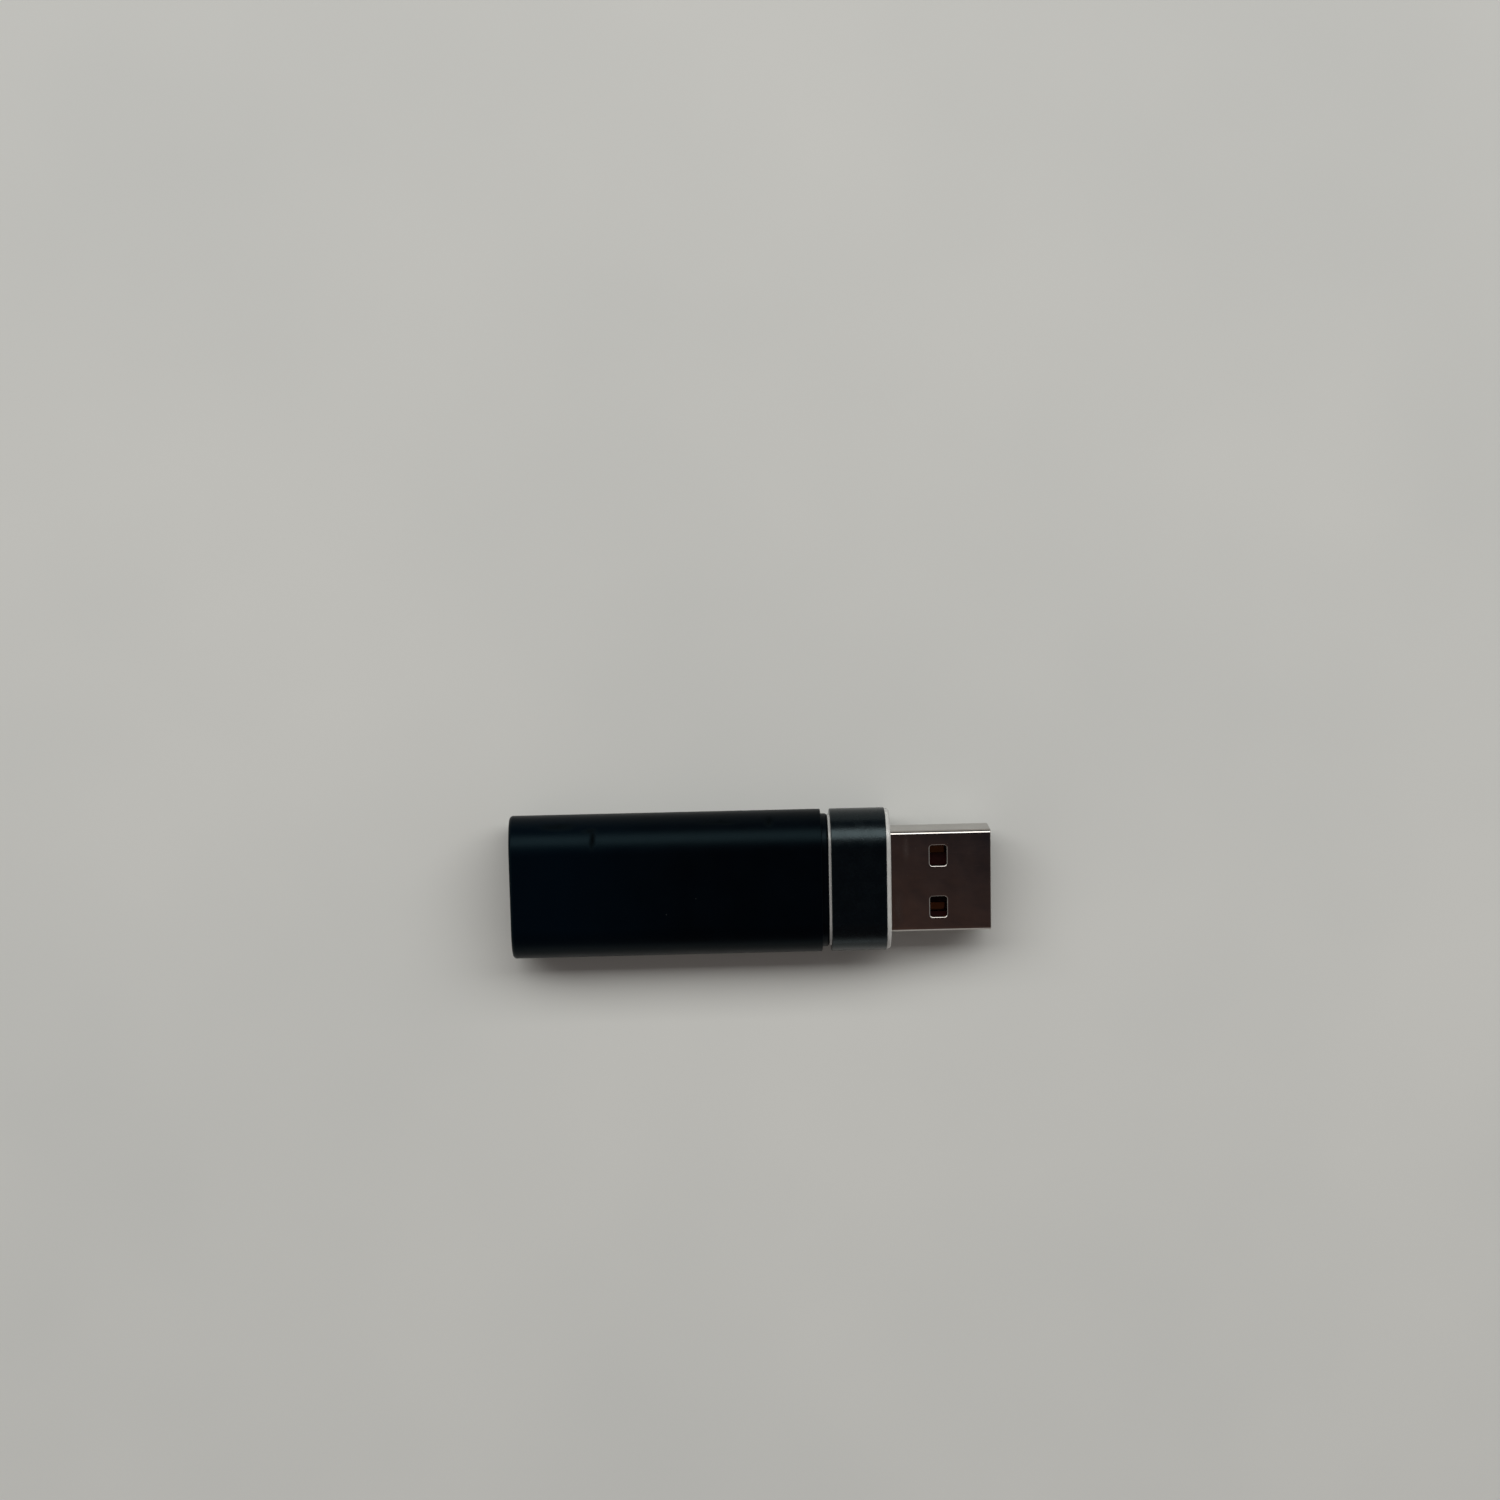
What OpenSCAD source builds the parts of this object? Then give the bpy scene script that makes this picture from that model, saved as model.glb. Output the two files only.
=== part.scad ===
// USB stick with a push sleeve.
// The barrel is one long push button. It slides over an inner carrier towards the plug and
// works a side-push switch on the circuit board. A clear light guide carries the collar
// and shows as a lip in front of it and as a thin line behind it.
// The stick lies on a wide face: +X points out of the plug, +Y across, +Z up.

/* [Body] */
// Width of the barrel and collar
body_w = 16.9; // [16.5:0.1:18]
// Thickness of the barrel and collar
body_t = 8.2; // [8:0.1:8.8]
// Length of the sliding sleeve
sleeve_len = 36.3; // [35.5:0.1:44]
// Space between the sleeve's mouth and the collar
sleeve_gap = 1.07; // [0.9:0.01:1.2]
// Length of the collar
collar_len = 6.45; // [6:0.05:7]
// How far the light guide stands out in front of the collar
guide_lip = 0.51; // [0.3:0.01:0.8]
// How far the light guide shows behind the collar
guide_line = 0.27; // [0.2:0.01:0.4]

/* [Walls and edges] */
// Wall of the sleeve
sleeve_wall = 0.5; // [0.45:0.05:0.6]
// Wall of the collar
collar_wall = 0.6; // [0.5:0.05:0.7]
// Wall of the inner carrier
chassis_wall = 0.7; // [0.6:0.05:0.75]
// Rounding of the sleeve's closed end
sleeve_end_r = 0.45; // [0.2:0.05:0.6]
// Rounding of the sleeve's mouth and of the collar's edges
small_edge_r = 0.12; // [0.05:0.01:0.2]
// Rounding of the light guide's front and of the carrier's neck
soft_edge_r = 0.35; // [0.2:0.05:0.45]

/* [Push button] */
// Travel of the sleeve and of the switch
press_travel = 0.4; // [0.2:0.05:0.5]
// Side clearance between the sleeve and the carrier
slide_gap = 0.05; // [0.03:0.01:0.08]

/* [Plug] */
// Length of plug that stands out of the light guide
plug_len = 11.75; // [11.7:0.05:12]
// Spacing of the two latch holes in a wide face
latch_pitch = 6.1; // [5.8:0.1:6.4]

/* [Hidden] */
$fn = 64;
eps = 0.01;
seat_gap = 0.02;

// Stations along the stick
total_len = sleeve_len + sleeve_gap + collar_len + guide_lip + plug_len;
sleeve_x0 = -total_len / 2;
sleeve_x1 = sleeve_x0 + sleeve_len;
collar_x0 = sleeve_x1 + sleeve_gap;
collar_x1 = collar_x0 + collar_len;
guide_x0 = collar_x0 - guide_line;
guide_x1 = collar_x1 + guide_lip;
tip_x = total_len / 2;
axis_z = body_t / 2;

// Sections
sleeve_bore_w = body_w - 2 * sleeve_wall;
sleeve_bore_t = body_t - 2 * sleeve_wall;
chassis_w = sleeve_bore_w - 2 * slide_gap;
chassis_t = sleeve_bore_t - 2 * slide_gap;
chassis_room_w = chassis_w - 2 * chassis_wall;
chassis_room_t = chassis_t - 2 * chassis_wall;
collar_bore_w = body_w - 2 * collar_wall;
collar_bore_t = body_t - 2 * collar_wall;
lip_inset = 0.1;

// USB-A plug
shell_w = 12.0;
shell_t = 4.5;
shell_r = 0.5;
shell_wall = 0.3;
shell_setback = 0.23;
shell_x0 = guide_x0 + shell_setback;
latch_len = 1.95;
latch_w = 2.4;
latch_r = 0.3;
latch_x = tip_x - 6.16;
seam_w = 0.06;
leg_len = 2.8;
plug_room_w = shell_w - 2 * shell_wall;
plug_room_t = shell_t - 2 * shell_wall;
plug_floor_z = axis_z - plug_room_t / 2;
tongue_x1 = tip_x - 0.6;
block_x0 = shell_x0 + 0.2;
block_x1 = tip_x - 12.0;
tongue_w = 11.1;
contact_w = 1.0;
contact_t = 0.2;
contact_y = [-3.5, -1.0, 1.0, 3.5];
contact_x1 = [tip_x - 1.2, tip_x - 2.2, tip_x - 2.2, tip_x - 1.2];
contact_tail = 2.6;

// Circuit board
board_t = 0.8;
board_w = chassis_room_w - 1;
board_top = axis_z - 0.1;
board_z0 = board_top - board_t;
board_x0 = sleeve_x0 + 7.6;
board_x1 = guide_x0 - 0.1;
copper_t = 0.04;

// Centres of the components on the board; the third value is a turn in degrees
mcu_at = [-3.0, 0];
crystal_at = [-9.2, 3.4];
flash_at = [-9.6, -2.8];
regulator_at = [1.6, 4.2];
esd_at = [3.6, 0];
bead_at = [4.6, 4.4, 90];
filter_at = [-13.6, 3.8, 0];
antenna_at = [board_x0 + 0.6, board_w / 2 - 3.1];
first_pad_at = [-14, 4.6];
led_at = [board_x1 - 1.2, board_w / 2 - 0.8];
capacitor_places = [
    [-9.2, 5.4, 0], [-6.6, 4.4, 90], [-3.0, 4.4, 0], [1.2, 1.8, 90],
    [-0.9, 5.4, 90], [3.9, -3.2, 0], [1.4, -4.9, 0], [-5.2, -4.4, 0]
];
resistor_places = [
    [5.0, -4.9, 0], [3.2, -4.9, 0], [5.4, 1.9, 90], [-2.4, -4.4, 0], [1.2, -1.8, 90]
];

// Carrier
joint_line = 0.05;
chassis_x0 = sleeve_x0 + 6.6;
neck_x0 = guide_x0 - 4.0;
hook_x = sleeve_x0 + 13.0;
hook_len = 1.0;
hook_w = 3.0;
hook_h = 0.22;
pocket_depth = hook_h - slide_gap + 0.06;
finger_len = 6.0;
finger_slot = 0.4;
rib_len = 1.0;
rib_x = [sleeve_x0 + 9.5, sleeve_x0 + 20.0, sleeve_x0 + 30.0];
rib_y = board_w / 2 - 0.8;

// Push switch
switch_len = 3.0;
switch_w = 4.4;
switch_h = 1.9;
switch_x0 = board_x0 - 0.5;
switch_z = board_top + switch_h / 2;
frame_t = 0.15;
dome_r = 1.25;
dome_t = 0.08;
dome_h = press_travel + dome_t + 0.04;
plunger_w = 1.7;
plunger_h = 1.0;
plunger_out = 0.9;
plunger_foot_w = 2.4;
plunger_foot_h = 1.3;
plunger_foot_t = 0.5;
plunger_x0 = switch_x0 - plunger_out;
dome_x1 = switch_x0 + 1.9;
plunger_x1 = dome_x1 - dome_h - seat_gap;
plunger_foot_x0 = plunger_x1 - plunger_foot_t;
end_wall = 1.0;
pusher_rib = 1.0;
pusher_span = 3.0;

// ---------------------------------------------------------------- shared shapes

// Stands an outline up across the stick: outline x goes along Y and outline y goes up
module across(x0, x1) {
    translate([x0, 0, 0]) rotate([90, 0, 90]) linear_extrude(x1 - x0) children();
}

// Outline of the body: a bar with half-round sides, centred on the stick's axis
module stadium(w, t) {
    translate([0, axis_z]) {
        square([w - t, t], center = true);
        for (side = [-1, 1]) translate([side * (w - t) / 2, 0]) circle(d = t);
    }
}

module stadium_bar(x0, x1, w, t) {
    across(x0, x1) stadium(w, t);
}

// Half outline of a bar, radius along x and length along y, with a rounding at each end
module bar_profile(len, r, r0, r1) {
    intersection() {
        square([r, len]);
        union() {
            translate([0, r0]) square([r, len - r0 - r1]);
            square([r - r0, len / 2]);
            translate([0, len / 2]) square([r - r1, len / 2]);
            if (r0 > 0) translate([r - r0, r0]) circle(r0);
            if (r1 > 0) translate([r - r1, len - r1]) circle(r1);
        }
    }
}

// Stadium bar with its two end edges rounded by r0 and r1, or square where they are 0
module soft_stadium_bar(x0, x1, w, t, r0, r1) {
    len = x1 - x0;
    translate([x0, 0, axis_z]) {
        for (turn = [0, 180])
            rotate([turn, 0, 0]) translate([0, (w - t) / 2, 0]) rotate([0, 90, 0])
                rotate_extrude(angle = 180) bar_profile(len, t / 2, r0, r1);
        rotate([90, 0, 90]) rotate([90, 0, 90]) translate([0, 0, -(w - t) / 2])
            linear_extrude(w - t) {
                bar_profile(len, t / 2, r0, r1);
                mirror([1, 0]) bar_profile(len, t / 2, r0, r1);
            }
    }
}

module rounded_rect(w, h, r) {
    square([w - 2 * r, h], center = true);
    square([w, h - 2 * r], center = true);
    for (sx = [-1, 1])
        for (sy = [-1, 1]) translate([sx * (w / 2 - r), sy * (h / 2 - r)]) circle(r);
}

// Plug section grown by a margin all round
module plug_section(margin) {
    translate([0, axis_z]) rounded_rect(shell_w + 2 * margin, shell_t + 2 * margin, shell_r);
}

// Box from its lowest corner in X, centred in Y, standing on z
module slab(x0, y, z, size) {
    translate([x0, y - size[1] / 2, z]) cube(size);
}

// ---------------------------------------------------------------- barrel

// Pocket in the sleeve's wall that the carrier's hook runs in
module hook_pocket(z0) {
    room = press_travel + 0.05;
    slab(hook_x - room, 0, z0, [hook_len + room + seat_gap, hook_w + 0.3, pocket_depth + eps]);
}

module sleeve() {
    bore_x0 = sleeve_x0 + end_wall;
    pusher_len = plunger_x0 - seat_gap - bore_x0;
    color([0.02, 0.03, 0.045]) {
        difference() {
            soft_stadium_bar(sleeve_x0, sleeve_x1, body_w, body_t, sleeve_end_r, small_edge_r);
            stadium_bar(bore_x0, sleeve_x1 + 1, sleeve_bore_w, sleeve_bore_t);
            hook_pocket(axis_z + sleeve_bore_t / 2 - eps);
            hook_pocket(axis_z - sleeve_bore_t / 2 - pocket_depth);
        }
        slab(bore_x0 - eps, 0, switch_z - pusher_rib / 2, [pusher_len + eps, pusher_span, pusher_rib]);
        slab(bore_x0 - eps, 0, switch_z - pusher_span / 2, [pusher_len - 1, pusher_rib, pusher_span]);
    }
}

// ---------------------------------------------------------------- carrier

// Slots on three sides that free a springy finger round the hook
module finger_slots(z0) {
    depth = chassis_wall + 2 * eps;
    for (side = [-1, 1])
        slab(hook_x - 1, side * (hook_w / 2 + finger_slot), z0, [finger_len, finger_slot, depth]);
    slab(hook_x - 1, 0, z0, [finger_slot, hook_w + 3 * finger_slot, depth]);
}

module carrier_tube(x0, x1) {
    difference() {
        stadium_bar(x0, x1, chassis_w, chassis_t);
        stadium_bar(x0 - 1, x1 + 1, chassis_room_w, chassis_room_t);
    }
}

module chassis_tray() {
    low_z = axis_z - chassis_t / 2;
    color([0.012, 0.012, 0.014]) {
        difference() {
            carrier_tube(chassis_x0, neck_x0 + eps);
            slab(chassis_x0 - 1, 0, board_top, [total_len, body_w, body_t]);
            finger_slots(low_z - eps);
        }
        difference() {
            soft_stadium_bar(neck_x0, guide_x0, chassis_w, chassis_t, 0, soft_edge_r);
            stadium_bar(neck_x0 - 1, guide_x0 + 1, chassis_room_w, chassis_room_t);
        }
        slab(hook_x, 0, low_z - hook_h, [hook_len, hook_w, hook_h + eps]);
        intersection() {
            stadium_bar(chassis_x0, neck_x0, chassis_w - chassis_wall, chassis_t - chassis_wall);
            for (x = rib_x)
                for (side = [-1, 1])
                    translate([x, side > 0 ? rib_y : -rib_y - 2, low_z])
                        cube([rib_len, 2, board_z0 - low_z]);
        }
    }
}

module chassis_lid() {
    high_z = axis_z + chassis_t / 2;
    color([0.015, 0.015, 0.017]) {
        difference() {
            carrier_tube(chassis_x0, neck_x0 - joint_line);
            slab(chassis_x0 - 1, 0, board_top + joint_line - body_t, [total_len, body_w, body_t]);
            finger_slots(high_z - chassis_wall - eps);
        }
        slab(hook_x, 0, high_z - eps, [hook_len, hook_w, hook_h + eps]);
        intersection() {
            stadium_bar(chassis_x0, neck_x0 - 1, chassis_w - chassis_wall, chassis_t - chassis_wall);
            for (x = rib_x)
                for (side = [-1, 1])
                    translate([x, side > 0 ? rib_y : -rib_y - 2, board_top])
                        cube([rib_len, 2, body_t]);
        }
    }
}

// ---------------------------------------------------------------- collar and light guide

module collar() {
    color([0.035, 0.05, 0.06])
        difference() {
            soft_stadium_bar(collar_x0, collar_x1, body_w, body_t, small_edge_r, small_edge_r);
            stadium_bar(collar_x0 - 1, collar_x1 + 1, collar_bore_w, collar_bore_t);
        }
}

module light_guide() {
    color([0.9, 0.92, 0.9, 0.6])
        difference() {
            union() {
                stadium_bar(guide_x0, collar_x1 + eps, collar_bore_w - 2 * seat_gap,
                    collar_bore_t - 2 * seat_gap);
                soft_stadium_bar(collar_x1, guide_x1, body_w - 2 * lip_inset,
                    body_t - 2 * lip_inset, 0, soft_edge_r);
            }
            across(guide_x0 - 1, guide_x1 + 1) plug_section(seat_gap);
        }
}

// ---------------------------------------------------------------- USB plug

// Clinched seam of the folded shell: a narrow slit with two dovetails, along the underside
module seam_outline() {
    step = 1.1;
    run = [
        [shell_x0 - 1, 0], [block_x1 - 3, 0], [block_x1 - 3.3, step], [block_x1 - 1, step],
        [block_x1 - 1.3, 0], [latch_x + 1.9, 0], [latch_x + 1.6, step],
        [latch_x + 3.9, step], [latch_x + 3.6, 0], [tip_x + 1, 0]
    ];
    count = len(run) - 1;
    for (i = [0:count - 1]) {
        along = run[i + 1] - run[i];
        translate(run[i]) rotate([0, 0, atan2(along[1], along[0])])
            translate([0, -seam_w / 2]) square([norm(along), seam_w]);
    }
}

module latch_holes() {
    for (side = [-1, 1])
        translate([latch_x, side * latch_pitch / 2, axis_z - shell_t])
            linear_extrude(2 * shell_t) rounded_rect(latch_len, latch_w, latch_r);
}

module usb_shell() {
    color([0.55, 0.53, 0.5]) {
        difference() {
            across(shell_x0, tip_x) plug_section(0);
            across(shell_x0 - 1, tip_x + 1)
                translate([0, axis_z])
                    rounded_rect(plug_room_w, plug_room_t, shell_r - shell_wall);
            latch_holes();
            translate([0, 0, axis_z - shell_t / 2 - eps]) linear_extrude(shell_wall + 2 * eps)
                seam_outline();
        }
        for (side = [-1, 1])
            slab(shell_x0 - leg_len, side * (shell_w - shell_wall) / 2, plug_floor_z + 0.2,
                [leg_len + eps, shell_wall, board_z0 - plug_floor_z - 0.2]);
    }
}

module contact_strips(side_gap) {
    for (i = [0:len(contact_y) - 1])
        slab(shell_x0 - contact_tail, contact_y[i], board_top,
            [contact_x1[i] - shell_x0 + contact_tail + side_gap, contact_w + 2 * side_gap, contact_t]);
}

module usb_insulator() {
    floor_z = plug_floor_z + seat_gap;
    tongue_h = board_top + contact_t / 2 - floor_z;
    color([0.09, 0.02, 0.015])
        difference() {
            union() {
                slab(block_x0, 0, floor_z, [tongue_x1 - block_x0, tongue_w, tongue_h]);
                slab(block_x0, 0, floor_z,
                    [block_x1 - block_x0, tongue_w, plug_room_t - 2 * seat_gap]);
            }
            contact_strips(seat_gap);
        }
}

module usb_contacts() {
    color([0.85, 0.62, 0.25]) contact_strips(0);
}

// ---------------------------------------------------------------- circuit board

// Board with rounded corners and two tooling holes
module circuit_board() {
    corner_r = 0.6;
    hole_r = 0.45;
    hole_inset = [5.2, 0.9];
    color([0.02, 0.16, 0.09])
        translate([0, 0, board_z0]) linear_extrude(board_t)
            difference() {
                translate([(board_x0 + board_x1) / 2, 0])
                    rounded_rect(board_x1 - board_x0, board_w, corner_r);
                for (side = [-1, 1])
                    translate([board_x0 + hole_inset[0], side * (board_w / 2 - hole_inset[1])])
                        circle(hole_r);
            }
}

// Flat package with a row of short gull-wing legs on two sides
module leaded_package(at, size, leg_count, leg_pitch) {
    leg = [0.36, 0.55, 0.3];
    leg_out = 0.4;
    lift = 0.08;
    color([0.03, 0.03, 0.03])
        slab(at[0] - size[0] / 2, at[1], board_top + lift, [size[0], size[1], size[2] - lift]);
    color([0.7, 0.7, 0.7])
        for (side = [-1, 1])
            for (i = [0:leg_count - 1])
                slab(at[0] + (i - (leg_count - 1) / 2) * leg_pitch - leg[0] / 2,
                    at[1] + side * (size[1] / 2 + leg_out - leg[1] / 2), board_top, leg);
}

// Flat square package with a row of pins under each edge and a dot in one corner
module microcontroller() {
    side_len = 6.0;
    lift = 0.05;
    top_z = 0.85;
    pin = [0.45, 0.24, 0.12];
    pin_out = 0.1;
    pin_pitch = 0.5;
    pin_count = 10;
    dot_r = 0.25;
    dot_inset = 0.7;
    dot_depth = 0.07;
    translate([mcu_at[0], mcu_at[1], board_top]) {
        color([0.03, 0.03, 0.035])
            difference() {
                slab(-side_len / 2, 0, lift, [side_len, side_len, top_z - lift]);
                translate([dot_inset - side_len / 2, side_len / 2 - dot_inset, top_z - dot_depth])
                    cylinder(h = 1, r = dot_r);
            }
        color([0.7, 0.7, 0.7])
            for (turn = [0:90:270])
                rotate([0, 0, turn])
                    for (i = [0:pin_count - 1])
                        slab(side_len / 2 + pin_out - pin[0], (i - (pin_count - 1) / 2) * pin_pitch,
                            0, pin);
    }
}

module crystal() {
    base = [3.2, 2.5, 0.35];
    lid = [2.8, 2.1, 0.35];
    overlap = 0.05;
    color([0.75, 0.7, 0.6]) slab(crystal_at[0] - base[0] / 2, crystal_at[1], board_top, base);
    color([0.8, 0.8, 0.78])
        slab(crystal_at[0] - lid[0] / 2, crystal_at[1], board_top + base[2] - overlap, lid);
}

module flash_memory() {
    leaded_package(flash_at, [4.9, 3.6, 1.2], 4, 1.27);
}

module voltage_regulator() {
    leaded_package(regulator_at, [2.9, 1.6, 1.1], 3, 0.95);
}

module esd_array() {
    leaded_package(esd_at, [2.0, 1.25, 0.95], 3, 0.65);
}

// Two-ended chip part: ceramic body with metal end caps, which stand a little proud of it
module chip(place, size, tint) {
    cap = size[0] * 0.22;
    proud = 0.02;
    translate([place[0], place[1], board_top]) rotate([0, 0, place[2]]) {
        color(tint)
            slab(cap - size[0] / 2, 0, proud, [size[0] - 2 * cap, size[1], size[2] - 2 * proud]);
        color([0.75, 0.75, 0.75])
            for (side = [-1, 1])
                slab(side * (size[0] - cap) / 2 - cap / 2, 0, 0, [cap, size[1], size[2]]);
    }
}

module ferrite_bead() {
    chip(bead_at, [2.0, 1.25, 0.9], [0.12, 0.12, 0.13]);
}

module capacitors() {
    for (place = capacitor_places) chip(place, [1.0, 0.5, 0.5], [0.55, 0.42, 0.28]);
}

module resistors() {
    for (place = resistor_places) chip(place, [1.0, 0.5, 0.35], [0.05, 0.05, 0.06]);
}

module antenna_filter() {
    chip(filter_at, [1.6, 0.8, 0.6], [0.85, 0.82, 0.75]);
}

// Side-view lamps: a block with a lens that faces the light guide
module status_leds() {
    block = [0.6, 1.2, 0.6];
    lens = [0.4, 0.9, 0.44];
    for (side = [-1, 1]) {
        color([0.9, 0.9, 0.85]) slab(led_at[0] - block[0] / 2, side * led_at[1], board_top, block);
        color([0.95, 0.95, 0.9])
            slab(led_at[0] + block[0] / 2 - eps, side * led_at[1],
                board_top + (block[2] - lens[2]) / 2, lens);
    }
}

// Meander of bare copper at the board's rear corner
module printed_antenna() {
    pitch = 0.8;
    turns = 5;
    reach = 2.2;
    trace = 0.3;
    color([0.75, 0.5, 0.25])
        translate([antenna_at[0], antenna_at[1], board_top])
            for (i = [0:turns - 1]) {
                translate([i * pitch, 0, 0]) cube([trace, reach, copper_t]);
                translate([i * pitch, i % 2 == 0 ? 0 : reach - trace, 0])
                    cube([pitch + trace, trace, copper_t]);
            }
}

// Row of round bare pads on the underside
module programming_pads() {
    pad_pitch = 1.9;
    pad_count = 5;
    pad_r = 0.6;
    color([0.8, 0.65, 0.3])
        for (i = [0:pad_count - 1])
            translate([first_pad_at[0] + i * pad_pitch, first_pad_at[1], board_z0 - copper_t])
                cylinder(h = copper_t, r = pad_r);
}

// ---------------------------------------------------------------- push switch

// Opening round the plunger's stem, as a box from x0 to x1 with a gap all round
module stem_opening(x0, x1, gap) {
    slab(x0, 0, switch_z - plunger_h / 2 - gap, [x1 - x0, plunger_w + 2 * gap, plunger_h + 2 * gap]);
}

module switch_base() {
    pocket_x0 = plunger_foot_x0 - 0.05;
    pocket_h = plunger_foot_h + 0.2;
    color([0.06, 0.06, 0.06])
        difference() {
            slab(switch_x0 + frame_t, 0, board_top,
                [switch_len - frame_t, switch_w - 2 * frame_t, switch_h - frame_t]);
            slab(pocket_x0, 0, switch_z - pocket_h / 2,
                [dome_x1 - pocket_x0, 2 * dome_r + 0.1, pocket_h]);
            stem_opening(switch_x0 - 1, pocket_x0 + eps, 0.05);
        }
}

module switch_frame() {
    color([0.72, 0.72, 0.7])
        difference() {
            slab(switch_x0, 0, board_top, [switch_len, switch_w, switch_h]);
            slab(switch_x0 + frame_t - eps, 0, board_top - 1,
                [switch_len, switch_w - 2 * frame_t + eps, switch_h - frame_t + 1 + eps]);
            stem_opening(switch_x0 - 1, switch_x0 + 1, 0.1);
        }
}

module switch_terminals() {
    foot = [0.5, 0.6, 0.15];
    color([0.78, 0.76, 0.7])
        for (side = [-1, 1])
            for (x = [switch_x0 + 0.9, switch_x0 + 2.3])
                slab(x, side * (switch_w + foot[1]) / 2, board_top, foot);
}

// Snap dome: a thin round bowl standing on its rim, crown towards the plunger, cut to the switch's height
module switch_dome() {
    bowl_r = (dome_r * dome_r + dome_h * dome_h) / (2 * dome_h);
    color([0.8, 0.8, 0.78])
        intersection() {
            translate([dome_x1 + bowl_r - dome_h, 0, switch_z])
                difference() {
                    sphere(bowl_r);
                    sphere(bowl_r - dome_t);
                }
            slab(dome_x1 - dome_h, 0, switch_z - plunger_foot_h / 2,
                [dome_h, 2 * dome_r, plunger_foot_h]);
        }
}

module switch_plunger() {
    color([0.85, 0.85, 0.8]) {
        stem_opening(plunger_x0, plunger_x1, 0);
        slab(plunger_foot_x0, 0, switch_z - plunger_foot_h / 2,
            [plunger_foot_t, plunger_foot_w, plunger_foot_h]);
    }
}

sleeve();
chassis_tray();
chassis_lid();
collar();
light_guide();
usb_shell();
usb_insulator();
usb_contacts();
circuit_board();
microcontroller();
crystal();
flash_memory();
voltage_regulator();
esd_array();
ferrite_bead();
capacitors();
resistors();
status_leds();
printed_antenna();
antenna_filter();
programming_pads();
switch_base();
switch_frame();
switch_terminals();
switch_dome();
switch_plunger();
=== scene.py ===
"""Looks of the USB stick: the four outer shells as fine meshes, and a material for every piece.

Everything is in metres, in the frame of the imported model: +X out of the plug, +Y across, +Z up.
"""

import math

import bmesh
import bpy
from mathutils import Matrix, Vector


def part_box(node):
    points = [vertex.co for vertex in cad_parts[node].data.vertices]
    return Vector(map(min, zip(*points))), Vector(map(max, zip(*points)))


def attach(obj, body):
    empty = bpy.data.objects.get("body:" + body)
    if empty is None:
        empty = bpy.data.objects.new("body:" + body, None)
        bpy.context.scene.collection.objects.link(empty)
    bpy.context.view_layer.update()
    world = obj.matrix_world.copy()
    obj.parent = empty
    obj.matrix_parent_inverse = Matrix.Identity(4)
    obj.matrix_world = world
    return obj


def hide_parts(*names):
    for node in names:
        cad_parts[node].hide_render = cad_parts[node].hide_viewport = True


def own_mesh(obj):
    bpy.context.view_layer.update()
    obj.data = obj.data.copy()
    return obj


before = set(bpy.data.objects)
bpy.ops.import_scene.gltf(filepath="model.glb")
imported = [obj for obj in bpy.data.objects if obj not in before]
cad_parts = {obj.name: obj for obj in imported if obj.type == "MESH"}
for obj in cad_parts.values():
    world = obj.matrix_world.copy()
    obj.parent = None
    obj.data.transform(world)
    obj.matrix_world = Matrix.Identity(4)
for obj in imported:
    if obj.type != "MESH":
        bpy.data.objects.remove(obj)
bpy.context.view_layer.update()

MM = 0.001

# ---------------------------------------------------------------- places, all from the frame

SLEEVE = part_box("sleeve")
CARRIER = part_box("chassis_tray")
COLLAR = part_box("collar")
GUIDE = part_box("light_guide")
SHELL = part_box("usb_shell")
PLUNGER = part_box("switch_plunger")

BODY_W = SLEEVE[1].y - SLEEVE[0].y
BODY_T = SLEEVE[1].z - SLEEVE[0].z
AXIS_Z = BODY_T / 2
SHELL_W = SHELL[1].y - SHELL[0].y
SHELL_T = SHELL[1].z - SHELL[0].z
TIP_X = SHELL[1].x

# ---------------------------------------------------------------- walls, edges and gaps

SEAT_GAP = 0.02 * MM
EDGE_R = 0.12 * MM
BORE_EDGE_R = 0.06 * MM

SLIDE_GAP = 0.05 * MM
SLEEVE_WALL = (SLEEVE[1].y - CARRIER[1].y) - SLIDE_GAP
SLEEVE_END_R = 0.45 * MM
END_WALL = 1.0 * MM
RIB_THICK = 1.0 * MM
RIB_SPAN = 3.0 * MM
POCKET_X = (12.55 * MM, 14.02 * MM)
POCKET_W = 3.3 * MM
POCKET_DEPTH = 0.23 * MM

COLLAR_WALL = 0.6 * MM
LIP_INSET = 0.1 * MM
LIP_R = 0.35 * MM

SHELL_WALL = 0.3 * MM
SHELL_R = 0.5 * MM
SHELL_TIP_R = 0.1 * MM
SHELL_TUBE_LEN = 18.75 * MM
LATCH_SIZE = (1.95 * MM, 2.4 * MM)
LATCH_R = 0.3 * MM
LATCH_RIM = 0.17 * MM
LATCH_PITCH = 6.1 * MM
LATCH_BACK = 6.16 * MM
BLOCK_BACK = 12.0 * MM
SEAM_W = 0.06 * MM
SEAM_STEP = 1.1 * MM
SEAM_SLANT = 0.3 * MM
DOVETAIL_LEN = 1.7 * MM

ROUND_STEPS = 6
BORE_STEPS = 3
SOFT_STEPS = 10
HALF_ROUND_STEPS = 72
SHARP_ANGLE = math.radians(32)
BEVEL_ANGLE = math.radians(40)
SMALL_BEVEL = 0.03 * MM


# ---------------------------------------------------------------- mesh helpers

def new_object(name, verts, faces):
    mesh = bpy.data.meshes.new(name)
    mesh.from_pydata([tuple(v) for v in verts], [], faces)
    mesh.update()
    made = bpy.data.objects.new(name, mesh)
    bpy.context.scene.collection.objects.link(made)
    return made


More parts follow.
